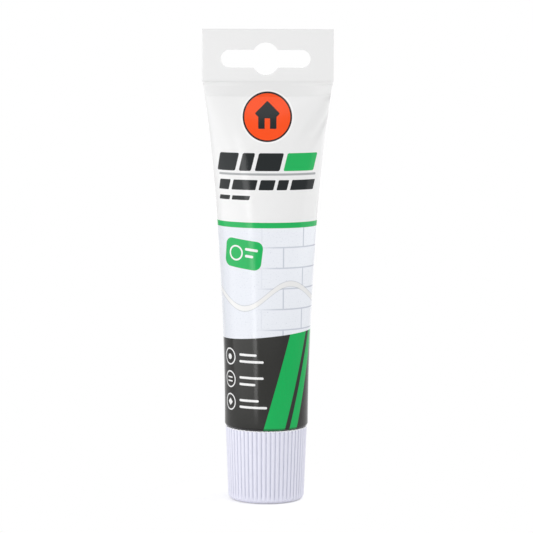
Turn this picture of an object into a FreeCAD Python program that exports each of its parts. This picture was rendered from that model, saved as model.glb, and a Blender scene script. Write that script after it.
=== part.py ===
import FreeCAD, Part

import math
import os
import re

import Sketcher

# Caulk tube standing on its screw cap, in millimetres: +Z up along the tube, the flat tab wide along X,
# the printed front towards -Y, and the origin in the middle of the cap's base.

doc = FreeCAD.newDocument("CaulkTube")
sheet = doc.addObject("Spreadsheet::Sheet", "Sizes")

# Name, size, and what it measures
SIZES = [
    ("tube_diameter", 35.0, "outside of the sleeve where it is round"),
    ("sleeve_wall", 0.5, "thickness of the sleeve's plastic"),
    ("sleeve_length", 145.3, "seam at the cap to the lower edge of the tab"),
    ("round_length", 1.4, "stretch of sleeve above the shoulder that stays round"),
    ("edge_round", 1.2, "outer radius of the sleeve's turned-in lower edge"),
    ("belly_power", 1.7, "how late the sleeve starts to flatten on its way up"),
    ("girth_power", 1.7, "how the half width grows as the half depth shrinks at an equal girth"),
    ("section_bias", 1.6, "how much closer the sections lie near the tab"),
    ("weld_line", 0.1, "film of plastic squeezed between the two walls in the tab"),
    ("tab_height", 21.7, "height of the welded tab"),
    ("slot_length", 37.4, "hang slot, end to end"),
    ("slot_height", 7.4, "hang slot, top to bottom beside the lobe"),
    ("lobe_width", 11.0, "middle lobe of the hang slot, side to side"),
    ("lobe_height", 13.6, "middle lobe of the hang slot, top to bottom"),
    ("slot_lift", -1.55, "hang slot above the middle of the tab"),
    ("slot_shift", -0.9, "hang slot to the right of the middle of the tab, as it was punched"),
    ("cap_height", 31.25, "base to rim of the cap"),
    ("rim_gap", 0.25, "running gap between the cap's rim and the sleeve's edge"),
    ("cap_inset", 0.4, "rib crests at the rim inside the sleeve's outline"),
    ("cap_taper", 1.2, "rib crests at the base inside those at the rim"),
    ("cap_wall", 1.2, "cap wall behind the ribs"),
    ("floor_thickness", 1.6, "end wall of the cap"),
    ("floor_fillet", 1.3, "inside corner between end wall and shell"),
    ("base_round", 2.5, "radius of the cap's lower corner"),
    ("rim_round", 0.35, "radius of the cap's outer rim corner"),
    ("corner_margin", 0.05, "rib crests to the line that both rounded corners run out to"),
    ("foot_ring", 2.4, "width of the flat ring that the cap stands on"),
    ("recess_depth", 0.4, "depth of the recess inside that ring"),
    ("gate_diameter", 2.0, "gate mark in the middle of the recess"),
    ("gate_height", 0.2, "how far the gate mark stands out"),
    ("rib_count", 54, "upright grip ribs round the cap"),
    ("rib_height", 0.38, "rib crest over the valley"),
    ("rib_valley", 0.14, "width of the valley between two ribs"),
    ("root_sink", 0.15, "depth that the foot of a rib or a thread ridge is sunk into its wall"),
    ("shoulder_lip", 0.4, "shoulder's rim above the sleeve's rounded edge"),
    ("shoulder_drop", 2.6, "fall of the shoulder from its rim to the neck"),
    ("shoulder_gap", 0.37, "slope of the shoulder inside the cap's mouth"),
    ("shoulder_ring", 1.1, "width of the flat ring on top of the shoulder"),
    ("weld_gap", 0.05, "sleeve to shoulder, where the two are welded"),
    ("neck_length", 13.0, "seam to the end of the threaded neck"),
    ("neck_wall", 1.75, "wall of the neck under its thread"),
    ("neck_end", 1.3, "thickness of the neck's end wall"),
    ("neck_fillet", 0.7, "fillet between neck and shoulder"),
    ("thread_diameter", 15.0, "over the crests of the neck's thread"),
    ("thread_depth", 0.75, "height of a thread ridge"),
    ("thread_pitch", 3.0, "rise of the thread in one turn"),
    ("thread_base", 1.3, "width of a thread ridge at its foot"),
    ("thread_crest", 0.6, "width of a thread ridge at its crest"),
    ("thread_lead", 2.0, "plain end of the neck below its thread"),
    ("neck_relief", 3.15, "plain neck between its thread and the shoulder"),
    ("skirt_lead", 2.55, "plain mouth of the cap's skirt above its thread"),
    ("thread_clearance", 0.25, "radial gap between each crest and the wall it faces"),
    ("spout_bore", 3.6, "bore of the spout"),
    ("spout_wall", 1.3, "wall of the spout at its tip"),
    ("spout_flare", 1.3, "growth of the spout's radius from its tip to the neck"),
    ("skirt_wall", 1.2, "wall of the cap's threaded skirt"),
    ("skirt_gap", 0.6, "top of the cap's skirt to the lowest point of the shoulder"),
    ("liner_margin", 1.4, "edge of the sealing disc outside the spout's tip"),
    ("liner_thickness", 1.5, "thickness of that disc"),
    ("liner_clearance", 0.3, "gap round the disc in its ring"),
    ("ring_wall", 0.8, "wall of the ring on the cap's floor that holds the disc"),
    ("ring_height", 2.2, "height of that ring"),
    ("paste_gap", 0.15, "paste to the walls that hold it"),
    ("paste_below_tip", 0.5, "paste drawn back from the spout's mouth"),
]
for row, (alias, value, meaning) in enumerate(SIZES, start=1):
    sheet.set(f"A{row}", meaning)
    sheet.set(f"B{row}", str(value))
    sheet.setAlias(f"B{row}", alias)
doc.recompute()

NAMES = {alias for alias, _, _ in SIZES}
SECTIONS = 12
PASTE_SECTIONS = 10
OVERRUN = 1.0


def size(formula):
    # A formula on the sheet's names, such as "cap_height + rim_gap", as it is written in an expression
    return re.sub(r"\b[a-z_]+\b", lambda word: f"Sizes.{word[0]}" if word[0] in NAMES else word[0], formula)


def number(formula):
    return float(sheet.evalExpression(size(formula)))


def bind(thing, formulas):
    for name, formula in formulas.items():
        thing.setExpression(name, size(formula))


def plane(body, role):
    return next(f for f in body.Origin.OriginFeatures if f.Role == role)


def new_body(label):
    body = doc.addObject("PartDesign::Body", label)
    body.Label = label
    return body


def new_sketch(body, name, role):
    sketch = body.newObject("Sketcher::SketchObject", name)
    sketch.AttachmentSupport = [(plane(body, role), "")]
    sketch.MapMode = "FlatFace"
    sketch.Visibility = False
    return sketch


def set_value(sketch, constraint, formula):
    index = sketch.addConstraint(constraint)
    sketch.setExpression(f"Constraints[{index}]", size(formula))


def set_spot(sketch, geometry, spot, x, y):
    set_value(sketch, Sketcher.Constraint("DistanceX", geometry, 1, spot.x), x)
    set_value(sketch, Sketcher.Constraint("DistanceY", geometry, 1, spot.y), y)


def rounding(before, here, after, radius):
    # Where the arc in a corner starts and ends, and its centre
    back = (before - here).normalize()
    ahead = (after - here).normalize()
    half = back.getAngle(ahead) / 2
    reach = radius / math.tan(half)
    centre = here + (back + ahead).normalize() * (radius / math.sin(half))
    return here + back * reach, here + ahead * reach, centre


def outline(body, name, role, corners):
    # Closed outline through corners of (x, y) or (x, y, radius), each a formula on the sheet's names
    sketch = new_sketch(body, name, role)
    points = [FreeCAD.Vector(number(c[0]), number(c[1]), 0) for c in corners]
    ends = []
    for i, corner in enumerate(corners):
        if len(corner) == 2:
            ends.append((points[i], points[i], None))
        else:
            after = points[(i + 1) % len(points)]
            ends.append(rounding(points[i - 1], points[i], after, number(corner[2])))
    lines = []
    for i, (_, start, _) in enumerate(ends):
        stop = ends[(i + 1) % len(ends)][0]
        lines.append(sketch.addGeometry(Part.LineSegment(start, stop)))
    for i, corner in enumerate(corners):
        before, after = lines[i - 1], lines[i]
        entry, leave, centre = ends[i]
        if centre is None:
            sketch.addConstraint(Sketcher.Constraint("Coincident", before, 2, after, 1))
            set_spot(sketch, after, points[i], corner[0], corner[1])
            continue
        left = (entry - centre).cross(leave - centre).z > 0
        first, last = (entry, leave) if left else (leave, entry)
        start_angle = math.atan2(first.y - centre.y, first.x - centre.x)
        end_angle = math.atan2(last.y - centre.y, last.x - centre.x)
        circle = Part.Circle(centre, FreeCAD.Vector(0, 0, 1), (entry - centre).Length)
        arc = sketch.addGeometry(Part.ArcOfCircle(circle, start_angle, end_angle))
        mark = sketch.addGeometry(Part.Point(points[i]), True)
        sketch.addConstraint(Sketcher.Constraint("Tangent", before, 2, arc, 1 if left else 2))
        sketch.addConstraint(Sketcher.Constraint("Tangent", arc, 2 if left else 1, after, 1))
        sketch.addConstraint(Sketcher.Constraint("PointOnObject", mark, 1, before))
        sketch.addConstraint(Sketcher.Constraint("PointOnObject", mark, 1, after))
        set_value(sketch, Sketcher.Constraint("Radius", arc, number(corner[2])), corner[2])
        set_spot(sketch, mark, points[i], corner[0], corner[1])
    return sketch


def turn(body, sketch, name, kind="PartDesign::Revolution"):
    turned = body.newObject(kind, name)
    turned.Profile = sketch
    turned.ReferenceAxis = (sketch, ["V_Axis"])
    turned.Angle = 360
    doc.recompute()
    return turned


def thread(body, name, foot, crest, start, rise):
    # Right-hand ridge of trapezoid section wound round the axis, its foot sunk in the wall
    sketch = outline(body, name + "_section", "XZ_Plane", [
        (foot, f"{start} - thread_base / 2"),
        (crest, f"{start} - thread_crest / 2"),
        (crest, f"{start} + thread_crest / 2"),
        (foot, f"{start} + thread_base / 2"),
    ])
    doc.recompute()
    ridge = body.newObject("PartDesign::AdditiveHelix", name)
    ridge.Profile = sketch
    ridge.ReferenceAxis = (sketch, ["V_Axis"])
    ridge.Mode = 0
    bind(ridge, {"Pitch": "thread_pitch", "Height": rise})
    ridge.Angle = 0
    ridge.LeftHanded = False
    ridge.Reversed = False
    doc.recompute()
    return ridge


# Levels and radii that more than one piece is made to
SEAM = "(cap_height + rim_gap)"
SHOULDER_TOP = f"({SEAM} + edge_round + shoulder_lip)"
SHOULDER_FOOT = f"({SEAM} - shoulder_drop)"
NECK_FOOT = f"({SEAM} - neck_length)"
NECK_ROOT = "(thread_diameter / 2 - thread_depth)"
NECK_BORE = f"({NECK_ROOT} - neck_wall)"
THREAD_START = f"({NECK_FOOT} + thread_lead)"
SPOUT_TIP = "(spout_bore / 2 + spout_wall)"
LINER_TOP = "(floor_thickness + liner_thickness)"
LINER_RADIUS = f"({SPOUT_TIP} + liner_margin)"
SKIRT_BORE = "(thread_diameter / 2 + thread_clearance)"
SKIRT_OUTSIDE = f"({SKIRT_BORE} + skirt_wall)"
RADIUS = "(tube_diameter / 2)"
RIM_CREST = f"({RADIUS} - cap_inset)"
RIM_ROOT = f"({RIM_CREST} - rib_height)"
RIM_BORE = f"({RIM_ROOT} - cap_wall)"
BASE_CREST = f"({RIM_CREST} - cap_taper)"
BASE_ROOT = f"({BASE_CREST} - rib_height)"

# Screw cap: one moulding of a tapered ribbed shell, end wall, threaded skirt and the liner's ring
cap = new_body("screw_cap")
RECESS = f"({BASE_CREST} - base_round - foot_ring)"
SKIRT_TOP = f"({SHOULDER_FOOT} - skirt_gap)"
RING_BORE = f"({LINER_RADIUS} + liner_clearance)"
RING_TOP = "(floor_thickness + ring_height)"
cap_section = outline(cap, "cap_section", "XZ_Plane", [
    ("0", "recess_depth - gate_height"),
    ("gate_diameter / 2", "recess_depth - gate_height"),
    ("gate_diameter / 2", "recess_depth"),
    (RECESS, "recess_depth"),
    (RECESS, "0"),
    (BASE_ROOT, "0"),
    (RIM_ROOT, "cap_height"),
    (RIM_BORE, "cap_height"),
    (f"{BASE_ROOT} - cap_wall", "floor_thickness", "floor_fillet"),
    (SKIRT_OUTSIDE, "floor_thickness"),
    (SKIRT_OUTSIDE, SKIRT_TOP),
    (SKIRT_BORE, SKIRT_TOP),
    (SKIRT_BORE, "floor_thickness"),
    (f"{RING_BORE} + ring_wall", "floor_thickness"),
    (f"{RING_BORE} + ring_wall", RING_TOP),
    (RING_BORE, RING_TOP),
    (RING_BORE, "floor_thickness"),
    ("0", "floor_thickness"),
])
turn(cap, cap_section, "cap_shell")


def rib_section(name, root, height):
    # Lens of one rib: a chord sunk in the wall and an arc over it, as wide as the pitch less a valley
    sketch = new_sketch(cap, name, "XY_Plane")
    sketch.setExpression("AttachmentOffset.Base.z", size(height))
    half_width = f"({root} * sin(180 deg / rib_count) - rib_valley / 2)"
    radius = f"((rib_height ^ 2 + {half_width} ^ 2) / (2 * rib_height))"
    middle = f"({root} + rib_height - {radius})"
    chord = f"({root} - root_sink)"
    far, near = number(radius), number(chord) - number(middle)
    rise = math.sqrt(far ** 2 - near ** 2)
    spread = math.atan2(rise, near)
    centre = FreeCAD.Vector(number(middle), 0, 0)
    circle = Part.Circle(centre, FreeCAD.Vector(0, 0, 1), far)
    arc = sketch.addGeometry(Part.ArcOfCircle(circle, -spread, spread))
    top = centre + FreeCAD.Vector(near, rise, 0)
    bottom = centre + FreeCAD.Vector(near, -rise, 0)
    line = sketch.addGeometry(Part.LineSegment(top, bottom))
    sketch.addConstraint(Sketcher.Constraint("Coincident", arc, 2, line, 1))
    sketch.addConstraint(Sketcher.Constraint("Coincident", line, 2, arc, 1))
    sketch.addConstraint(Sketcher.Constraint("PointOnObject", arc, 3, -1))
    sketch.addConstraint(Sketcher.Constraint("Vertical", line))
    set_value(sketch, Sketcher.Constraint("Radius", arc, far), radius)
    set_value(sketch, Sketcher.Constraint("DistanceX", arc, 3, centre.x), middle)
    set_value(sketch, Sketcher.Constraint("DistanceX", line, 1, top.x), chord)
    return sketch


rib_foot = rib_section("rib_foot", BASE_ROOT, "0")
rib_head = rib_section("rib_head", RIM_ROOT, "cap_height")
doc.recompute()
rib = cap.newObject("PartDesign::AdditiveLoft", "rib")
rib.Profile = rib_foot
rib.Sections = [rib_head]
rib.Ruled = True
doc.recompute()
ribs = cap.newObject("PartDesign::PolarPattern", "ribs")
ribs.Originals = [rib]
ribs.Axis = (plane(cap, "Z_Axis"), [""])
ribs.Angle = 360
bind(ribs, {"Occurrences": "rib_count"})
cap.Tip = ribs
doc.recompute()

# What lies outside the rounded corners, above the rim and below the base, comes off shell and ribs alike
corner_waste = outline(cap, "corner_waste", "XZ_Plane", [
    (f"{RECESS} + foot_ring / 2", "0"),
    (f"{BASE_CREST} + corner_margin", "0", "base_round"),
    (f"{RIM_CREST} + corner_margin", "cap_height", "rim_round"),
    (RIM_BORE, "cap_height"),
    (RIM_BORE, f"cap_height + {OVERRUN}"),
    (f"{RIM_CREST} + {OVERRUN}", f"cap_height + {OVERRUN}"),
    (f"{RIM_CREST} + {OVERRUN}", f"0 - {OVERRUN}"),
    (f"{RECESS} + foot_ring / 2", f"0 - {OVERRUN}"),
])
turn(cap, corner_waste, "rounded_corners", "PartDesign::Groove")
CAP_THREAD_START = f"({THREAD_START} + thread_pitch / 2)"
thread(
    cap,
    "cap_thread",
    f"{SKIRT_BORE} + root_sink",
    f"{NECK_ROOT} + thread_clearance",
    CAP_THREAD_START,
    f"{SKIRT_TOP} - skirt_lead - {CAP_THREAD_START}",
)

# Cap liner: soft disc on the cap's floor, under the spout's mouth
liner = doc.addObject("Part::Cylinder", "cap_liner")
liner.Label = "cap_liner"
bind(liner, {
    "Radius": LINER_RADIUS,
    "Height": "liner_thickness",
    "Placement.Base.z": "floor_thickness",
})

# Tube head: shoulder, neck with its thread, and spout in one moulding
head = new_body("tube_head")
HEAD_RIM = f"({RADIUS} - sleeve_wall - weld_gap)"
HEAD_FACE = f"({RADIUS} - edge_round - weld_gap)"
FUNNEL_RIM = f"({HEAD_RIM} - shoulder_ring)"
FUNNEL_FOOT = f"({SHOULDER_TOP} - shoulder_drop)"
EDGE_TOP = f"({SEAM} + sleeve_wall + weld_gap)"
head_section = outline(head, "head_section", "XZ_Plane", [
    ("spout_bore / 2", LINER_TOP),
    (SPOUT_TIP, LINER_TOP),
    (f"{SPOUT_TIP} + spout_flare", NECK_FOOT),
    (NECK_ROOT, NECK_FOOT),
    (NECK_ROOT, SHOULDER_FOOT, "neck_fillet"),
    (SKIRT_OUTSIDE, SHOULDER_FOOT),
    (f"{RIM_BORE} - shoulder_gap", SEAM),
    (HEAD_FACE, SEAM),
    (HEAD_FACE, EDGE_TOP),
    (HEAD_RIM, EDGE_TOP, "edge_round - sleeve_wall - weld_gap"),
    (HEAD_RIM, SHOULDER_TOP),
    (FUNNEL_RIM, SHOULDER_TOP),
    (NECK_BORE, FUNNEL_FOOT),
    (NECK_BORE, f"{NECK_FOOT} + neck_end"),
    ("spout_bore / 2", f"{NECK_FOOT} + neck_end"),
])
turn(head, head_section, "head_shell")
thread(
    head,
    "neck_thread",
    f"{NECK_ROOT} - root_sink",
    "thread_diameter / 2",
    THREAD_START,
    f"{SHOULDER_FOOT} - neck_relief - {THREAD_START}",
)

# Sleeve: its girth stays the same from the round end to the tab, so the width follows from the depth
BELLY_START = f"({SHOULDER_TOP} + round_length)"
TAB_START = f"({SEAM} + sleeve_length)"
HALF_TAB = "(sleeve_wall + weld_line / 2)"
HALF_FLAT = "(pi * tube_diameter / 4)"


def belly_section(name, share, inset):
    # One level of the belly, its share of the way up and its half depth kept as values of its own
    ellipse = doc.addObject("Part::Ellipse", name)
    ellipse.addProperty("App::PropertyFloat", "Share")
    ellipse.addProperty("App::PropertyFloat", "Depth")
    width = f"{HALF_FLAT} - ({HALF_FLAT} - {RADIUS}) * (Depth / {RADIUS}) ^ girth_power"
    bind(ellipse, {
        "Share": share,
        "Depth": f"{HALF_TAB} + ({RADIUS} - {HALF_TAB}) * sqrt(1 - Share ^ belly_power)",
        "MajorRadius": f"max({width}; Depth) - {inset}",
        "MinorRadius": f"Depth - {inset}",
        "Placement.Base.z": f"{BELLY_START} + ({TAB_START} - {BELLY_START}) * Share",
    })
    return ellipse


def belly(name, inset, last):
    sections = []
    for i in range(last + 1):
        share = f"1 - (1 - {i} / {SECTIONS}) ^ section_bias"
        sections.append(belly_section(f"{name}_{i}", share, inset))
    loft = doc.addObject("Part::Loft", name)
    loft.Sections = sections
    loft.Solid = True
    loft.Ruled = False
    return loft


def cylinder(name, radius, bottom, top):
    column = doc.addObject("Part::Cylinder", name)
    bind(column, {"Radius": radius, "Height": f"{top} - ({bottom})", "Placement.Base.z": bottom})
    return column


def rounded_end(name, radius, bottom, corner):
    # Short column up to the start of the belly, its lower edge rounded
    column = cylinder(name + "_column", radius, bottom, BELLY_START)
    doc.recompute()
    edges = column.Shape.Edges
    lowest = min(range(len(edges)), key=lambda i: edges[i].CenterOfMass.z)
    rounded = doc.addObject("Part::Fillet", name)
    rounded.Base = column
    rounded.Edges = [(lowest + 1, number(corner), number(corner))]
    return rounded


def fuse(name, shapes):
    fused = doc.addObject("Part::MultiFuse", name)
    fused.Shapes = shapes
    return fused


def cut(name, base, tool):
    result = doc.addObject("Part::Cut", name)
    result.Base = base
    result.Tool = tool
    return result


def pill(name, length, width, along_x):
    # Hole with round ends through the tab: a block, and a round at each of its ends
    middle = f"({TAB_START} + tab_height / 2 + slot_lift)"
    depth = f"(2 * {HALF_TAB} + {OVERRUN})"
    straight = f"({length} - {width})"
    across, upright = (straight, width) if along_x else (width, straight)
    block = doc.addObject("Part::Box", name + "_block")
    bind(block, {
        "Length": across,
        "Width": depth,
        "Height": upright,
        "Placement.Base.x": f"slot_shift - {across} / 2",
        "Placement.Base.y": f"0 - {depth} / 2",
        "Placement.Base.z": f"{middle} - {upright} / 2",
    })
    shapes = [block]
    for side, sign in (("low", "-"), ("high", "+")):
        end = doc.addObject("Part::Cylinder", f"{name}_{side}")
        end.Placement.Rotation = FreeCAD.Rotation(FreeCAD.Vector(1, 0, 0), 90)
        reach = f"{sign} {straight} / 2"
        bind(end, {
            "Radius": f"{width} / 2",
            "Height": depth,
            "Placement.Base.x": f"slot_shift {reach}" if along_x else "slot_shift",
            "Placement.Base.y": f"{depth} / 2",
            "Placement.Base.z": middle if along_x else f"{middle} {reach}",
        })
        shapes.append(end)
    return shapes


tab = doc.addObject("Part::Box", "tab")
bind(tab, {
    "Length": f"2 * {HALF_FLAT}",
    "Width": f"2 * {HALF_TAB}",
    "Height": "tab_height",
    "Placement.Base.x": f"0 - {HALF_FLAT}",
    "Placement.Base.y": f"0 - {HALF_TAB}",
    "Placement.Base.z": TAB_START,
})
outside = fuse("sleeve_outside", [
    belly("belly", "0", SECTIONS),
    rounded_end("edge", RADIUS, SEAM, "edge_round"),
    tab,
])
inside = fuse("sleeve_inside", [
    belly("hollow", "sleeve_wall", SECTIONS),
    rounded_end(
        "hollow_end",
        f"{RADIUS} - sleeve_wall",
        f"{SEAM} + sleeve_wall",
        "edge_round - sleeve_wall",
    ),
    cylinder("mouth", f"{RADIUS} - edge_round", f"{SEAM} - {OVERRUN}", BELLY_START),
])
slot = fuse("hang_slot", [
    *pill("slot", "slot_length", "slot_height", True),
    *pill("lobe", "lobe_height", "lobe_width", False),
])
shell = cut("sleeve_shell", outside, inside)
sleeve = cut("tube_sleeve", shell, slot)
sleeve.Label = "tube_sleeve"

# Paste: fills the sleeve, the shoulder's funnel, the neck and the spout, clear of their walls
funnel = doc.addObject("Part::Cone", "funnel_paste")
bind(funnel, {
    "Radius1": f"{NECK_BORE} - paste_gap",
    "Radius2": f"{FUNNEL_RIM} - paste_gap",
    "Height": "shoulder_drop",
    "Placement.Base.z": f"{FUNNEL_FOOT} + paste_gap",
})
PASTE_START = f"({SHOULDER_TOP} + paste_gap)"
paste = fuse("sealant_paste", [
    belly("paste_belly", "(sleeve_wall + paste_gap)", PASTE_SECTIONS),
    cylinder("round_paste", f"{RADIUS} - sleeve_wall - paste_gap", PASTE_START, BELLY_START),
    funnel,
    cylinder("neck_paste", f"{NECK_BORE} - paste_gap", f"{NECK_FOOT} + neck_end + paste_gap", PASTE_START),
    cylinder("spout_paste", "spout_bore / 2 - paste_gap", f"{LINER_TOP} + paste_below_tip", FUNNEL_FOOT),
])
paste.Label = "sealant_paste"

doc.recompute()

nodes = [cap, liner, head, sleeve, paste]
for thing in doc.Objects:
    if "Invalid" in thing.State or "Error" in thing.State:
        raise RuntimeError(f"{thing.Label} did not build: {thing.State}")
for node in nodes:
    if node.Shape.isNull() or not node.Shape.isValid() or len(node.Shape.Solids) != 1:
        raise RuntimeError(f"{node.Label} is not one sound solid")

os.makedirs("parts", exist_ok=True)
for node in nodes:
    node.Shape.exportStep(f"parts/{node.Label}.step")
    box = node.Shape.BoundBox
    print(f"{node.Label}: {node.Shape.Volume / 1000:.3f} cm3, z {box.ZMin:.2f} to {box.ZMax:.2f}")
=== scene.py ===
import math

import bpy
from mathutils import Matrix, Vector


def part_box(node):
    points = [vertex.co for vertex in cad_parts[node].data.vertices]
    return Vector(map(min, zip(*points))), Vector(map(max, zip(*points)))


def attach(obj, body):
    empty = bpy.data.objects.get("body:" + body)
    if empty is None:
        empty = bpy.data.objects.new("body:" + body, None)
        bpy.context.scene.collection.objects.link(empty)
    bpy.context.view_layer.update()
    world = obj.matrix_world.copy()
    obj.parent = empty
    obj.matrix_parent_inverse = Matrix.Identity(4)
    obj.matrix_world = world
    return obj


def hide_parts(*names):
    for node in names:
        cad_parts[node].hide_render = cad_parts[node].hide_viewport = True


# Squeeze tube of sealant on its ribbed screw cap. Lengths are in metres, and the print's in millimetres.
mm = 0.001
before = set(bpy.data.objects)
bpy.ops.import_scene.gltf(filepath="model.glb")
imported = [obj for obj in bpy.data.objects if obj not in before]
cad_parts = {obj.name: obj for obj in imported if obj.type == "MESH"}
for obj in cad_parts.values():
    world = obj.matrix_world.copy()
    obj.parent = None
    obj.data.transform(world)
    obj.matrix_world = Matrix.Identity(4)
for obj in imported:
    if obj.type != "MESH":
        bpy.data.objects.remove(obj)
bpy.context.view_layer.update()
sleeveLow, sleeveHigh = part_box("tube_sleeve")
bpy.context.scene.view_settings.view_transform = "Standard"


def plug(tree, value, slot):
    if isinstance(value, Wire):
        tree.links.new(value.socket, slot)
    elif isinstance(value, bpy.types.NodeSocket):
        tree.links.new(value, slot)
    else:
        slot.default_value = value


def addNode(tree, kind, inputs=None, **settings):
    node = tree.nodes.new(kind)
    place = len(tree.nodes)
    node.location = (place // 8 * 190, -(place % 8) * 170)  # columns of eight, easy to read
    for name, value in settings.items():
        setattr(node, name, value)
    for key, value in (inputs or {}).items():
        plug(tree, value, node.inputs[key])
    return node


class Wire:
    # A node's output that adds, multiplies and compares like a number
    def __init__(self, tree, socket):
        self.tree, self.socket = tree, socket

    def __add__(self, other):
        return maths(self.tree, "ADD", self, other)

    def __sub__(self, other):
        return maths(self.tree, "SUBTRACT", self, other)

    def __rsub__(self, other):
        return maths(self.tree, "SUBTRACT", other, self)

    def __mul__(self, other):
        return maths(self.tree, "MULTIPLY", self, other)

    def __truediv__(self, other):
        return maths(self.tree, "DIVIDE", self, other)

    def __rtruediv__(self, other):
        return maths(self.tree, "DIVIDE", other, self)

    def __pow__(self, other):
        return maths(self.tree, "POWER", self, other)

    __radd__ = __add__
    __rmul__ = __mul__


def maths(tree, operation, *values):
    node = addNode(tree, "ShaderNodeMath", operation=operation)
    for value, slot in zip(values, node.inputs):
        plug(tree, value, slot)
    return Wire(tree, node.outputs[0])


def smooth(tree, value, low, high):
    # 0 below low, 1 above high, and an even turn between them
    span = {0: value, 1: low, 2: high}
    node = addNode(tree, "ShaderNodeMapRange", span, interpolation_type="SMOOTHSTEP")
    return Wire(tree, node.outputs[0])


def parts(tree, vector):
    node = addNode(tree, "ShaderNodeSeparateXYZ", {0: vector})
    return [Wire(tree, node.outputs[i]) for i in range(3)]


def joined(tree, x, y, z):
    return addNode(tree, "ShaderNodeCombineXYZ", {0: x, 1: y, 2: z}).outputs[0]


def newTree(name, sizes):
    # Geometry tree with one named input for each size, and a material
    tree = bpy.data.node_groups.new(name, "GeometryNodeTree")
    tree.interface.new_socket("Geometry", in_out="INPUT", socket_type="NodeSocketGeometry")
    for label, value in sizes.items():
        kind = "NodeSocketInt" if isinstance(value, int) else "NodeSocketFloat"
        tree.interface.new_socket(label, in_out="INPUT", socket_type=kind)
    tree.interface.new_socket("Finish", in_out="INPUT", socket_type="NodeSocketMaterial")
    tree.interface.new_socket("Geometry", in_out="OUTPUT", socket_type="NodeSocketGeometry")
    source = addNode(tree, "NodeGroupInput")
    wires = {label: Wire(tree, source.outputs[label]) for label in sizes}
    return tree, source, wires


def endTree(tree, source, mesh):
    real = addNode(tree, "GeometryNodeRealizeInstances", {"Geometry": mesh})
    coat = {"Geometry": real.outputs[0], "Material": source.outputs["Finish"]}
    painted = addNode(tree, "GeometryNodeSetMaterial", coat)
    addNode(tree, "NodeGroupOutput", {"Geometry": painted.outputs[0]})


def grown(name, start, tree, values):
    # The tree's result on a start mesh, as a plain mesh object
    seed = bpy.data.objects.new(name + "Seed", start)
    bpy.context.scene.collection.objects.link(seed)
    modifier = seed.modifiers.new(tree.name, "NODES")
    modifier.node_group = tree
    for item in tree.interface.items_tree:
        if item.in_out == "INPUT" and item.name in values:
            modifier[item.identifier] = values[item.name]
    graph = bpy.context.evaluated_depsgraph_get()
    mesh = bpy.data.meshes.new_from_object(seed.evaluated_get(graph))
    seed.modifiers.remove(modifier)
    bpy.data.objects.remove(seed)
    mesh.name = name
    thing = bpy.data.objects.new(name, mesh)
    bpy.context.scene.collection.objects.link(thing)
    return thing


def newMaterial(name):
    material = bpy.data.materials.new(name)
    material.use_nodes = True
    tree = material.node_tree
    return material, tree, tree.nodes["Principled BSDF"]


def rgb(red, green, blue):
    # A screen colour of 0 to 255 as the shader takes it
    def linear(value):
        share = value / 255
        return share / 12.92 if share <= 0.04045 else ((share + 0.055) / 1.055) ** 2.4
    return (linear(red), linear(green), linear(blue), 1.0)


def newGroup(name, inputs, outputs):
    group = bpy.data.node_groups.new(name, "ShaderNodeTree")
    for label, kind in inputs.items():
        group.interface.new_socket(label, in_out="INPUT", socket_type="NodeSocket" + kind)
    for label, kind in outputs.items():
        group.interface.new_socket(label, in_out="OUTPUT", socket_type="NodeSocket" + kind)
    return group, addNode(group, "NodeGroupInput"), addNode(group, "NodeGroupOutput")


def buildMouldedSkin():
    # Slight unevenness of a moulded or blown plastic: slow waves, and a fine grain in the gloss
    group, source, sink = newGroup(
        "mouldedSkin",
        {"Place": "Vector", "Wave": "Float", "Grain": "Float", "Gloss": "Float", "Spread": "Float"},
        {"Roughness": "Float", "Height": "Float"},
    )

    def noise(scale, detail):
        spots = {"Vector": source.outputs["Place"], "Scale": source.outputs[scale], "Detail": detail}
        return Wire(group, addNode(group, "ShaderNodeTexNoise", spots).outputs["Fac"])

    slow, fine = noise("Wave", 1.0), noise("Grain", 2.0)
    gloss, spread = Wire(group, source.outputs["Gloss"]), Wire(group, source.outputs["Spread"])
    plug(group, gloss + (fine - 0.5) * spread, sink.inputs["Roughness"])
    plug(group, slow + fine * 0.15, sink.inputs["Height"])
    return group


mouldedSkin = buildMouldedSkin()


def addSkin(tree, shader, gloss, spread, bump, wave=60.0, grain=1800.0, relief=None):
    # Gloss and dents on the shader, over a relief in millimetres where there is one
    skin = addNode(tree, "ShaderNodeGroup", node_tree=mouldedSkin)
    place = addNode(tree, "ShaderNodeTexCoord").outputs["Object"]
    look = {"Place": place, "Wave": wave, "Grain": grain, "Gloss": gloss, "Spread": spread}
    for label, value in look.items():
        plug(tree, value, skin.inputs[label])
    tree.links.new(skin.outputs["Roughness"], shader.inputs["Roughness"])
    height = skin.outputs["Height"]
    dent = addNode(tree, "ShaderNodeBump", {"Height": height, "Strength": 1.0, "Distance": bump})
    if relief:
        under = addNode(tree, "ShaderNodeBump", {"Height": relief, "Strength": 1.0, "Distance": mm})
        tree.links.new(under.outputs[0], dent.inputs["Normal"])
    tree.links.new(dent.outputs[0], shader.inputs["Normal"])


inks = {
    "white": rgb(240, 240, 240),
    "bright": rgb(250, 250, 250),
    "field": rgb(230, 233, 240),
    "fieldRight": rgb(246, 249, 255),
    "speckle": rgb(176, 182, 197),
    "green": rgb(14, 180, 90),
    "dark": rgb(47, 47, 45),
    "orange": rgb(255, 78, 0),
    "ink": rgb(13, 21, 23),
    "grey": rgb(170, 172, 174),
    "joint": rgb(206, 210, 221),
    # painted shade for the rolled hem over the cap
    "shade": rgb(16, 20, 18),
}


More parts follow.
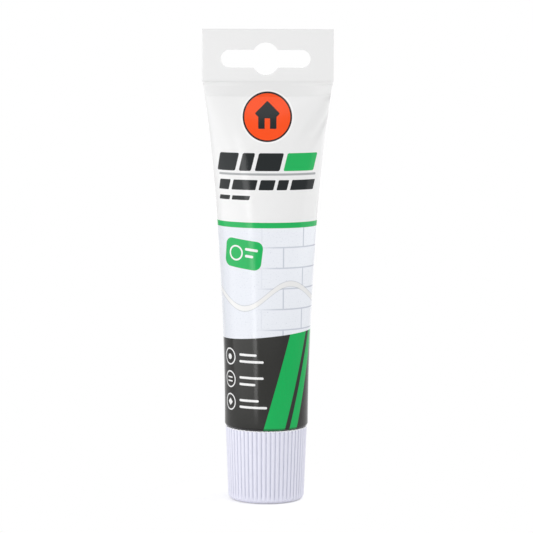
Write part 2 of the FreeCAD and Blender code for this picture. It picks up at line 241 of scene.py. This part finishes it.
class Sheet:
    # The print laid flat: around and up in millimetres, from the front's middle line and the floor
    def __init__(self, tree, around, up):
        self.tree, self.around, self.up = tree, around, up
        self.edge = 0.06
        self.lean = 14.0

    def mask(self, distance):
        return 1.0 - smooth(self.tree, distance, -self.edge, self.edge)

    def turned(self, x, y, degrees=0.0):
        across, above = self.around - x, self.up - y
        if not degrees:
            return across, above
        c, s = math.cos(math.radians(degrees)), math.sin(math.radians(degrees))
        return across * c + above * s, above * c - across * s

    def boxDistance(self, x, y, width, height, corner=0.0, degrees=0.0):
        # Distance to a rectangle with rounded corners, below zero inside
        across, above = self.turned(x, y, degrees)
        beyond = [
            maths(self.tree, "ABSOLUTE", value) - (size / 2 - corner)
            for value, size in ((across, width), (above, height))
        ]
        outside = [maths(self.tree, "MAXIMUM", value, 0.0) for value in beyond]
        reach = maths(self.tree, "SQRT", outside[0] * outside[0] + outside[1] * outside[1])
        inside = maths(self.tree, "MINIMUM", maths(self.tree, "MAXIMUM", beyond[0], beyond[1]), 0.0)
        return reach + inside - corner

    def discDistance(self, x, y, radius):
        across, above = self.turned(x, y)
        return maths(self.tree, "SQRT", across * across + above * above) - radius

    def box(self, *sizes, **more):
        return self.mask(self.boxDistance(*sizes, **more))

    def slab(self, left, y, width, height, corner):
        # Leaning bar between two slanted ends
        tilt = math.tan(math.radians(self.lean))
        leaned = Sheet(self.tree, self.around - (self.up - y) * tilt, self.up)
        return leaned.box(left + width / 2, y, width, height, corner)

    def disc(self, x, y, radius):
        return self.mask(self.discDistance(x, y, radius))

    def ring(self, distance, line):
        # Outline of that width along a shape's edge
        return self.mask(maths(self.tree, "ABSOLUTE", distance) - line / 2)

    def either(self, *masks):
        found = masks[0]
        for mask in masks[1:]:
            found = maths(self.tree, "MAXIMUM", found, mask)
        return found


def layered(tree, ground, *coats):
    # Coats of (mask, colour) over a ground colour
    for mask, colour in coats:
        mix = addNode(tree, "ShaderNodeMix", data_type="RGBA")
        for slot, value in ((0, mask), (6, ground), (7, colour)):
            plug(tree, value, mix.inputs[slot])
        ground = mix.outputs[2]
    return ground


sleevePrint = {
    "girth": math.pi * 35.0,
    "hemHeight": 32.7,
    "hemShade": 0.5,
    "speckleScale": 1.6,
    "jointPitch": 8.6,
    "jointWidth": 0.56,
    "joints": 6,  # bricks round the tube
    "jointStart": 74.0,
    "brickPatch": (21.0, 27.0, 15.0),  # middle, and how far from it the joints end and are full
    "beadHeight": 88.0,
    "beadWaves": ((3.0, 4.2), (1.0, 2.0)),  # waves round the tube, and their rise
    "beadWidth": 2.0,
    "beadShade": 0.35,
    "tag": (-10.5, 105.5, 17.0, 12.0, 3.0),  # across, up, width, height and corner
    "tagLean": -7.0,
    "tagRing": (-13.6, 105.9, 2.9),
    "tagBars": ((-6.6, 107.3, 5.6), (-7.6, 104.6, 3.6)),
    "bandHeight": 71.0,
    "bandSwing": 1.75,
    "stripeLean": 16.0,
    "stripeHeight": 50.0,
    "stripes": ((8.6, 9.2), (17.4, 4.0)),  # middle at that height, and width
    "markColumn": -18.0,
    "markTop": 62.0,
    "markPitch": 9.6,
    "markRadius": 3.3,
    "markLine": 0.55,
    "barColumn": -12.2,
    "bars": ((8.0, 11.0), (11.0, 7.5), (9.0, 12.5)),  # upper and lower bar beside each mark
    "lineHeight": 117.6,
    "lineWidth": 2.3,
    "badge": (-0.1, 162.4, 20.6),  # across, up and width
    "badgeRing": 0.7,
    "badgeHalo": 0.75,
    "headings": (143.8, 7.4, 0.7, ((-21.4, 8.6), (-11.2, 5.2), (-4.4, 10.4))),  # up, height, corner, bars
    "pill": (143.8, 7.4, 0.7, ((7.6, 13.4),)),
    "seconds": (134.3, 4.2, 0.4, ((-21.4, 5.2), (-14.9, 10.4), (-3.2, 6.2), (4.3, 4.4), (10.0, 10.8))),
    "thirds": (128.9, 1.8, 0.3, ((-21.6, 5.4), (-15.2, 7.8))),
    "rule": (0.0, 138.7, 42.8, 0.9, 0.3),
    "weldLines": (171.1, 176.7),
    "weldDepth": 0.07,
    "foldFoot": (15.4, 151.3),  # across and up where the soft fold from the tab's right corner ends
    "foldLean": 0.63,
    "foldDepth": 1.5,
    "foldEnd": 46.0,
}


def buildSleevePrint():
    p = sleevePrint
    group, source, sink = newGroup(
        "sleevePrint",
        {"Map": "Vector", "Height": "Float"},
        {"Color": "Color", "Relief": "Float"},
    )
    share, level, _ = parts(group, source.outputs["Map"])
    # Turns from the front's middle line, -0.5 to 0.5 at the back's
    turn = maths(group, "FRACT", share + 0.75) - 0.5
    sheet = Sheet(group, turn * p["girth"], level * Wire(group, source.outputs["Height"]))
    angle = turn * (2 * math.pi)

    # Pale field with the speckle of plaster, a corner of brickwork and a bead of sealant across it
    flat = joined(group, sheet.around, sheet.up, 0.0)
    speckle = {"Vector": flat, "Scale": p["speckleScale"], "Detail": 3.0, "Roughness": 0.7}
    grains = Wire(group, addNode(group, "ShaderNodeTexNoise", speckle).outputs["Fac"])
    specks = smooth(group, grains, 0.56, 0.74) * 0.5
    pitch, halfJoint = p["jointPitch"], p["jointWidth"] / 2
    course = (sheet.up - p["jointStart"]) / pitch
    shift = maths(group, "MODULO", maths(group, "FLOOR", course), 2.0) * 0.5
    bedJoint = maths(group, "ABSOLUTE", maths(group, "FRACT", course) - 0.5) * pitch
    upright = maths(group, "FRACT", turn * p["joints"] + shift + 0.62) - 0.5
    headJoint = maths(group, "ABSOLUTE", upright) * (p["girth"] / p["joints"])
    joints = sheet.either(sheet.mask(headJoint - halfJoint), sheet.mask(pitch / 2 - bedJoint - halfJoint))
    middle, far, near = p["brickPatch"]
    patch = smooth(group, maths(group, "ABSOLUTE", sheet.around - middle), far, near)
    waves = [maths(group, "SINE", angle * count) * rise for count, rise in p["beadWaves"]]
    bead = maths(group, "ABSOLUTE", sheet.up - (waves[0] + waves[1] + p["beadHeight"])) - p["beadWidth"] / 2
    rightward = maths(group, "SINE", angle) * 0.5 + 0.5
    field = layered(
        group, inks["field"],
        (rightward, inks["fieldRight"]),
        (specks, inks["speckle"]),
        (joints * patch, inks["joint"]),
        (sheet.mask(bead - p["beadShade"]) * 0.4, inks["grey"]),
        (sheet.mask(bead), inks["white"]),
    )
    lean = p["tagLean"]
    ring = sheet.ring(sheet.discDistance(*p["tagRing"]), 0.7)
    tagBars = [sheet.box(x, y, width, 1.1, 0.5, degrees=lean) for x, y, width in p["tagBars"]]
    field = layered(
        group, field,
        (sheet.box(*p["tag"], degrees=lean), inks["green"]),
        (sheet.either(ring, *tagBars), inks["white"]),
    )

    # Dark band with slanted green stripes, and three ringed marks with bars beside them
    band = maths(group, "SINE", angle) * p["bandSwing"] + p["bandHeight"]
    tilt = math.tan(math.radians(p["stripeLean"]))
    slant = sheet.around - (sheet.up - p["stripeHeight"]) * tilt
    stripes = [sheet.mask(maths(group, "ABSOLUTE", slant - x) - width / 2) for x, width in p["stripes"]]
    x = p["markColumn"]
    rows = [p["markTop"] - step * p["markPitch"] for step in range(len(p["bars"]))]
    marks = []
    for y, (upper, lower) in zip(rows, p["bars"]):
        marks.append(sheet.ring(sheet.discDistance(x, y, p["markRadius"]), p["markLine"]))
        marks.append(sheet.box(p["barColumn"] + upper / 2, y + 1.3, upper, 1.0, 0.5))
        marks.append(sheet.box(p["barColumn"] + lower / 2, y - 1.5, lower, 1.0, 0.5))
    marks.append(sheet.disc(x, rows[0] - 0.1, 1.2))
    marks += [sheet.box(x, rows[1] + lift, 3.2, 0.6, 0.25) for lift in (0.8, -0.8)]
    marks.append(sheet.box(x, rows[2], 2.3, 2.3, 0.3, degrees=45.0))
    bandColor = layered(
        group, inks["dark"],
        (sheet.either(*stripes), inks["green"]),
        (sheet.either(*marks), inks["white"]),
    )
    color = layered(group, field, (sheet.mask(sheet.up - band), bandColor))

    # White top with a ringed badge, and leaning bars where a heading would be
    def bars(name):
        y, height, corner, spans = p[name]
        return sheet.either(*[sheet.slab(left, y, width, height, corner) for left, width in spans])

    line = p["lineHeight"]
    color = layered(group, color, (sheet.mask(line - sheet.up), inks["white"]))
    x, y, width = p["badge"]
    badge = sheet.discDistance(x, y, width / 2)
    walls = sheet.box(x, y - 1.9, 7.6, 6.0, 0.4)
    roof = sheet.box(x, y + 1.4, 7.4, 7.4, 0.5, degrees=45.0)
    door = sheet.box(x, y - 2.8, 2.2, 4.4, 0.2)
    color = layered(
        group, color,
        (sheet.mask(badge - p["badgeHalo"]), inks["bright"]),
        (sheet.mask(badge), inks["orange"]),
        (sheet.ring(badge + p["badgeRing"] / 2, p["badgeRing"]), inks["ink"]),
        (sheet.either(walls, roof), inks["ink"]),
        (door, inks["orange"]),
        (sheet.either(bars("headings"), bars("seconds"), bars("thirds")), inks["ink"]),
        (bars("pill"), inks["green"]),
        (sheet.box(*p["rule"]), inks["grey"]),
        (sheet.mask(maths(group, "ABSOLUTE", sheet.up - line) - p["lineWidth"] / 2), inks["green"]),
    )

    # Painted shade along the rolled hem over the cap, darkening the print where the lip curls under
    hemPaintedShade = smooth(group, sheet.up, p["hemHeight"], p["hemHeight"] - 0.5) * p["hemShade"]
    plug(group, layered(group, color, (hemPaintedShade, inks["shade"])), sink.inputs["Color"])

    # Two pressed lines under the tab, and the soft fold that runs down from its right corner
    welds = sheet.either(*[
        1.0 - smooth(group, maths(group, "ABSOLUTE", sheet.up - height), 0.05, 0.26)
        for height in p["weldLines"]
    ])
    left, foot = p["foldFoot"]
    above = sheet.up - foot
    aside = sheet.around - (above * p["foldLean"] + left)
    fold = smooth(group, aside, -5.5, 2.5) - smooth(group, aside, 2.5, 6.5) * 0.7
    fold = fold * (smooth(group, above, -5.0, 6.0) * smooth(group, above, 22.0, 17.0))
    fold = fold * smooth(group, sheet.around, p["foldEnd"], p["foldEnd"] - 14.0)
    plug(group, welds * -p["weldDepth"] - fold * p["foldDepth"], sink.inputs["Relief"])
    return group


printGroup = buildSleevePrint()


def sleeveFinish():
    material, tree, shader = newMaterial("sleevePlastic")
    printMap = addNode(tree, "ShaderNodeUVMap", uv_map="printMap")
    art = addNode(tree, "ShaderNodeGroup", node_tree=printGroup)
    plug(tree, printMap.outputs[0], art.inputs["Map"])
    art.inputs["Height"].default_value = sleeveHigh.z / mm
    tree.links.new(art.outputs["Color"], shader.inputs["Base Color"])
    shader.inputs["Specular IOR Level"].default_value = 0.3
    relief = art.outputs["Relief"]
    addSkin(tree, shader, gloss=0.14, spread=0.04, bump=0.12 * mm, wave=28.0, grain=900.0, relief=relief)
    return material


capSizes = {
    "color": rgb(238, 238, 252),
    # painted shade in the grooves between the ribs
    "grooveShade": rgb(202, 203, 220),
    # painted highlight along the rim's edge
    "rim": rgb(250, 250, 254),
    "baseCrest": 15.9 * mm,
    "rimCrest": 17.1 * mm,
    "height": 31.25 * mm,
    "ribHeight": 0.38 * mm,
    "cornerHeight": 2.5 * mm,
    "rimHeight": 0.3 * mm,
}


def buildRibMask():
    # Masks for painted shade, deeper between the cap's ribs, and for a painted highlight near the rim's
    # edge
    c = capSizes
    group, source, sink = newGroup("ribMask", {"Place": "Vector"}, {"Groove": "Float", "RimHighlight": "Float"})
    x, y, z = parts(group, source.outputs["Place"])
    reach = maths(group, "SQRT", x * x + y * y)
    crest = z * ((c["rimCrest"] - c["baseCrest"]) / c["height"]) + c["baseCrest"]
    deep = smooth(group, crest - reach, c["ribHeight"] * 0.2, c["ribHeight"])
    upright = smooth(group, z, c["cornerHeight"] * 0.4, c["cornerHeight"] * 1.6)
    plug(group, deep * upright, sink.inputs["Groove"])
    rim = c["height"] - c["rimHeight"]
    plug(group, smooth(group, z, rim - c["rimHeight"] * 0.5, rim), sink.inputs["RimHighlight"])
    return group


def capFinish():
    material, tree, shader = newMaterial("capPlastic")
    place = addNode(tree, "ShaderNodeTexCoord").outputs["Object"]
    ribs = addNode(tree, "ShaderNodeGroup", node_tree=buildRibMask())
    plug(tree, place, ribs.inputs["Place"])
    # Cap colour with painted shade in the rib grooves and a painted highlight at the rim's edge
    color = layered(
        tree, capSizes["color"],
        (Wire(tree, ribs.outputs["Groove"]), capSizes["grooveShade"]),
        (Wire(tree, ribs.outputs["RimHighlight"]), capSizes["rim"]),
    )
    plug(tree, color, shader.inputs["Base Color"])
    addSkin(tree, shader, gloss=0.34, spread=0.06, bump=0.05 * mm)
    return material


plainSizes = {
    "headPlastic": {"color": rgb(238, 238, 238), "gloss": 0.38, "spread": 0.05, "bump": 0.05 * mm},
    "linerFoam": {"color": rgb(233, 233, 230), "gloss": 0.75, "spread": 0.1, "bump": 0.1 * mm},
    "sealantPaste": {"color": rgb(240, 240, 237), "gloss": 0.45, "spread": 0.1, "bump": 0.2 * mm},
}


def plainFinish(name):
    sizes = plainSizes[name]
    material, tree, shader = newMaterial(name)
    shader.inputs["Base Color"].default_value = sizes["color"]
    addSkin(tree, shader, sizes["gloss"], sizes["spread"], sizes["bump"])
    return material


sleeveSizes = {
    "Radius": (sleeveHigh.y - sleeveLow.y) / 2,
    "Half Tab Width": (sleeveHigh.x - sleeveLow.x) / 2,
    "Half Tab Depth": 0.55 * mm,
    "Belly Start": 34.5 * mm,
    "Tab Start": 176.8 * mm,
    "Crease Height": 170.7 * mm,
    "Belly Power": 1.7,
    "Girth Power": 1.7,
    "Tab Squareness": 14.0,
    "Squaring Height": 1.6 * mm,
    "Slot Length": 37.4 * mm,
    "Slot Height": 7.4 * mm,
    "Lobe Width": 11.0 * mm,
    "Lobe Height": 13.6 * mm,
    "Slot Shift": -0.9 * mm,
    "Slot Middle": 186.1 * mm,
    "Ring Points": 256,
    "Steps Around": 320,
}


def sleeveProfile(wall, edgeRound, tabRound):
    # (depth under the skin, height) from the hollow's closed end, round the lip, to the tab's top
    seam, top = sleeveLow.z, sleeveHigh.z
    belly, tab, crease = (sleeveSizes[k] for k in ("Belly Start", "Tab Start", "Crease Height"))
    halfTab = sleeveSizes["Half Tab Depth"]

    def spaced(low, high, count, bias=1.0):
        return [low + (high - low) * (1 - (1 - i / count) ** bias) for i in range(count + 1)]

    def arc(radius, inset, count):
        # Quarter round of the lip, from its mouth outwards
        turns = [math.pi / 2 * i / count for i in range(count + 1)]
        level = seam + edgeRound
        return [(inset + radius * (1 - math.sin(a)), level - radius * math.cos(a)) for a in turns]

    inner = [(wall, z) for z in spaced(belly, crease, 24, 1.5) + spaced(crease, tab, 6)[1:]]
    heights = spaced(belly, crease, 90, 1.3) + spaced(crease, tab, 12)[1:]
    heights += spaced(tab, top - tabRound, 16)[1:]
    outer = [(0.0, z) for z in heights]
    lip = arc(edgeRound - wall, wall, 5)[::-1] + arc(edgeRound, 0.0, 8)
    tabEdge = [(tabRound, top), (halfTab, top)]
    return [(halfTab, tab)] + inner[::-1] + lip + outer + tabEdge


def slotTool(tree, size, length, width, lengthways):
    # Solid bar with round ends, through the tab from front to back
    through = 8 * mm
    middle, shift = size["Slot Middle"], size["Slot Shift"]
    straight = length - width
    reach = straight * 0.5
    across, upright = (straight, width) if lengthways else (width, straight)
    bar = addNode(tree, "GeometryNodeMeshCube", {"Size": joined(tree, across, through, upright)})
    places = [(bar, (0.0, 0.0, 0.0), shift, middle)]
    for way in (-1.0, 1.0):
        drum = {"Vertices": 64, "Radius": width * 0.5, "Depth": through}
        end = addNode(tree, "GeometryNodeMeshCylinder", drum)
        x, z = (shift + reach * way, middle) if lengthways else (shift, middle + reach * way)
        places.append((end, (math.pi / 2, 0.0, 0.0), x, z))
    tools = []
    for shape, turn, x, z in places:
        spot = joined(tree, x, 0.0, z)
        move = {"Geometry": shape.outputs["Mesh"], "Translation": spot, "Rotation": turn}
        tools.append(addNode(tree, "GeometryNodeTransform", move).outputs[0])
    return tools


def onPrint(tree, geometry, place):
    # Keeps at each corner where it lies on the print
    kept = {"Geometry": geometry, "Name": "printMap", "Value": place}
    node = addNode(tree, "GeometryNodeStoreNamedAttribute", kept, data_type="FLOAT2", domain="CORNER")
    return node.outputs[0]


def buildSleeveTree():
    tree, source, size = newTree("pressedSleeve", sleeveSizes)
    radius, halfWidth, halfTab = size["Radius"], size["Half Tab Width"], size["Half Tab Depth"]
    profile = source.outputs["Geometry"]
    counted = addNode(tree, "GeometryNodeAttributeDomainSize", {"Geometry": profile}, component="MESH")
    rows = Wire(tree, counted.outputs["Point Count"])
    position = addNode(tree, "GeometryNodeInputPosition").outputs[0]
    index = addNode(tree, "GeometryNodeInputIndex").outputs[0]

    # One ring for each point of the profile
    unit = {"Resolution": size["Ring Points"], "Radius": 1.0}
    circle = addNode(tree, "GeometryNodeCurvePrimitiveCircle", unit).outputs[0]
    placed = addNode(tree, "GeometryNodeInstanceOnPoints", {"Points": profile, "Instance": circle})
    rings = addNode(tree, "GeometryNodeRealizeInstances", {"Geometry": placed.outputs[0]})
    row = addNode(tree, "GeometryNodeFieldOnDomain", {0: index}, domain="CURVE", data_type="INT")
    asked = {"Geometry": profile, "Value": position, "Index": row.outputs[0]}
    spot = addNode(tree, "GeometryNodeSampleIndex", asked, data_type="FLOAT_VECTOR").outputs[0]
    inset, _, height = parts(tree, spot)
    local = addNode(tree, "ShaderNodeVectorMath", {0: position, 1: spot}, operation="SUBTRACT")
    cosine, sine, _ = parts(tree, local.outputs[0])

    # The girth stays the same up to the tab, and a pressed band runs from the crease to the tab
    tabStart, start = size["Tab Start"], size["Belly Start"]
    power = size["Belly Power"]

    def depthAt(share):
        return halfTab + (radius - halfTab) * maths(tree, "SQRT", 1.0 - share ** power)

    share = addNode(tree, "ShaderNodeClamp", {0: (height - start) / (tabStart - start)})
    lawDepth = depthAt(Wire(tree, share.outputs[0]))
    crease = size["Crease Height"]
    creaseDepth = depthAt((crease - start) / (tabStart - start))
    slope = (creaseDepth - halfTab) / (tabStart - crease)
    band = maths(tree, "MAXIMUM", halfTab + slope * (tabStart - height), halfTab)
    depth = maths(tree, "MINIMUM", lawDepth, band)
    width = halfWidth - (halfWidth - radius) * (lawDepth / radius) ** size["Girth Power"]
    width = maths(tree, "MAXIMUM", width, lawDepth)
    square = smooth(tree, height, tabStart - size["Squaring Height"], tabStart)
    bend = 2.0 / (2.0 + square * (size["Tab Squareness"] - 2.0))

    def squared(value):
        return maths(tree, "SIGN", value) * maths(tree, "ABSOLUTE", value) ** bend

    shape = joined(tree, squared(cosine) * (width - inset), squared(sine) * (depth - inset), height)
    formed = {"Geometry": rings.outputs[0], "Position": shape}
    shaped = addNode(tree, "GeometryNodeSetPosition", formed)

    # Sheet wrapped on the rings, with even steps around each
    around = size["Steps Around"]
    grid = {"Size X": 1.0, "Size Y": 1.0, "Vertices X": around + 1.0, "Vertices Y": rows}
    sheet = addNode(tree, "GeometryNodeMeshGrid", grid)
    across, along, _ = parts(tree, position)
    level = maths(tree, "ROUND", (along + 0.5) * (rows - 1.0))
    asked = {"Curves": shaped.outputs[0], "Factor": across + 0.5, "Curve Index": level}
    wrap = addNode(tree, "GeometryNodeSampleCurve", asked, mode="FACTOR", use_all_curves=False)
    moved = {"Geometry": sheet.outputs["Mesh"], "Position": wrap.outputs["Position"]}
    wrapped = addNode(tree, "GeometryNodeSetPosition", moved).outputs[0]
    shareAround, _, _ = parts(tree, sheet.outputs["UV Map"])
    _, _, z = parts(tree, position)
    mapped = onPrint(tree, wrapped, joined(tree, shareAround, z / sleeveHigh.z, 0.0))
    welded = addNode(tree, "GeometryNodeMergeByDistance", {"Geometry": mapped, "Distance": 0.002 * mm})

    # Hang slot, whose cut walls take the white of the tab
    whole = {"Mesh 1": welded.outputs[0]}
    cut = addNode(tree, "GeometryNodeMeshBoolean", whole, operation="DIFFERENCE", solver="MANIFOLD")
    tools = slotTool(tree, size, size["Slot Length"], size["Slot Height"], True)
    tools += slotTool(tree, size, size["Lobe Height"], size["Lobe Width"], False)
    tabWhite = (0.25, 0.95, 0.0)
    for tool in tools:
        tree.links.new(onPrint(tree, tool, tabWhite), cut.inputs["Mesh 2"])
    endTree(tree, source, cut.outputs["Mesh"])
    return tree


def makeSleeve():
    points = sleeveProfile(wall=0.5 * mm, edgeRound=1.2 * mm, tabRound=0.12 * mm)
    start = bpy.data.meshes.new("sleeveProfile")
    edges = [(i, i + 1) for i in range(len(points) - 1)]
    start.from_pydata([(inset, 0.0, z) for inset, z in points], edges, [])
    finish = sleeveFinish()
    sleeve = grown("tubeSleeve", start, buildSleeveTree(), {**sleeveSizes, "Finish": finish})
    sleeve.data.set_sharp_from_angle(angle=math.radians(50.0))
    return sleeve


sleeve = makeSleeve()
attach(sleeve, "tube")
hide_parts("tube_sleeve")
print("sleeve:", len(sleeve.data.polygons), "faces")


def dress(node, finish):
    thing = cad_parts[node]
    thing.data.materials.clear()
    thing.data.materials.append(finish)


dress("screw_cap", capFinish())
dress("tube_head", plainFinish("headPlastic"))
dress("cap_liner", plainFinish("linerFoam"))
dress("sealant_paste", plainFinish("sealantPaste"))
print("mouldings dressed")


stage = {
    "floorSize": 1.6,
    "camera": (0.0, -1.6, 0.305),
    "aim": (-0.0002, 0.0, 0.0987),
    "lens": 259.4,
    "roll": 0.24,
    "shadowFade": (0.028, 0.05),
    "ambient": 0.6,
    "panelDistance": 0.3,
    "panels": {
        "stripPanel": (-27.5, 9.0, 0.0, 0.2, 3.8),
        "leftPanel": (-64.0, 62.0, 0.0, 0.18, 1.25),
        "rightPanel": (100.0, 76.0, 0.06, 0.5, 0.88),
        "upperPanel": (12.0, 60.0, 0.27, 0.5, 1.05),
        "backPanel": (180.0, 70.0, 0.0, 0.4, 0.42),
    },
}


def lookAt(thing, place, target, roll=0.0):
    thing.location = place
    turn = (Vector(target) - Vector(place)).to_track_quat("-Z", "Y")
    thing.rotation_euler = turn.to_euler()
    thing.rotation_euler.rotate_axis("Z", math.radians(roll))


def makeFloor():
    half = stage["floorSize"] / 2
    mesh = bpy.data.meshes.new("floor")
    corners = [(-half, -half, 0), (half, -half, 0), (half, half, 0), (-half, half, 0)]
    mesh.from_pydata(corners, [], [(0, 1, 2, 3)])
    floor = bpy.data.objects.new("floor", mesh)
    bpy.context.scene.collection.objects.link(floor)
    material, tree, shader = newMaterial("paleFloor")
    shader.inputs["Base Color"].default_value = (0.85, 0.85, 0.85, 1.0)
    shader.inputs["Roughness"].default_value = 0.9
    shader.inputs["Specular IOR Level"].default_value = 0.1
    shader.inputs["Emission Color"].default_value = (1.0, 1.0, 1.0, 1.0)
    # The camera sees plain white away from the tube, and the tube's own shadow near it
    ray = Wire(tree, addNode(tree, "ShaderNodeLightPath").outputs["Is Camera Ray"])
    place = addNode(tree, "ShaderNodeTexCoord").outputs["Object"]
    length = addNode(tree, "ShaderNodeVectorMath", {0: place}, operation="LENGTH")
    away = smooth(tree, Wire(tree, length.outputs["Value"]), *stage["shadowFade"])
    plug(tree, ray * 0.3, shader.inputs["Emission Strength"])
    white = addNode(tree, "ShaderNodeEmission", {"Strength": 1.0})
    mix = addNode(tree, "ShaderNodeMixShader", {0: ray * away, 1: shader.outputs[0], 2: white.outputs[0]})
    tree.links.new(mix.outputs[0], tree.nodes["Material Output"].inputs["Surface"])
    mesh.materials.append(material)


def addPanel(name, place, target, width, height, radiance):
    light = bpy.data.lights.new(name, "AREA")
    light.shape = "RECTANGLE"
    light.size, light.size_y = width, height
    light.energy = radiance * math.pi * width * height
    panel = bpy.data.objects.new(name, light)
    panel.visible_camera = False
    bpy.context.scene.collection.objects.link(panel)
    lookAt(panel, place, target)


def makeWorld(ambient):
    world = bpy.data.worlds.new("studio")
    world.use_nodes = True
    tree = world.node_tree
    shade = tree.nodes["Background"]
    shade.inputs["Color"].default_value = (1.0, 1.0, 1.0, 1.0)
    path = addNode(tree, "ShaderNodeLightPath")
    seen = maths(tree, "MAXIMUM", path.outputs["Is Camera Ray"], path.outputs["Is Glossy Ray"])
    seen = maths(tree, "MAXIMUM", seen, path.outputs["Is Transmission Ray"])
    plug(tree, ambient + seen * (1.0 - ambient), shade.inputs["Strength"])
    bpy.context.scene.world = world


def makeCamera():
    data = bpy.data.cameras.new("camera")
    data.lens = stage["lens"]
    data.sensor_width = 36.0
    data.clip_end = 20.0
    camera = bpy.data.objects.new("camera", data)
    bpy.context.scene.collection.objects.link(camera)
    lookAt(camera, stage["camera"], stage["aim"], stage["roll"])
    bpy.context.scene.camera = camera


def addPanels():
    # Upright soft panels: angle to the right of the camera's side, spread, foot, top and radiance
    distance = stage["panelDistance"]
    for name, (azimuth, spread, foot, top, radiance) in stage["panels"].items():
        turn = math.radians(azimuth)
        middle = (foot + top) / 2
        place = (distance * math.sin(turn), -distance * math.cos(turn), middle)
        width = 2 * distance * math.tan(math.radians(spread / 2))
        addPanel(name, place, (0.0, 0.0, middle), width, top - foot, radiance)


makeFloor()
makeWorld(stage["ambient"])
addPanels()
makeCamera()
print("stage set")
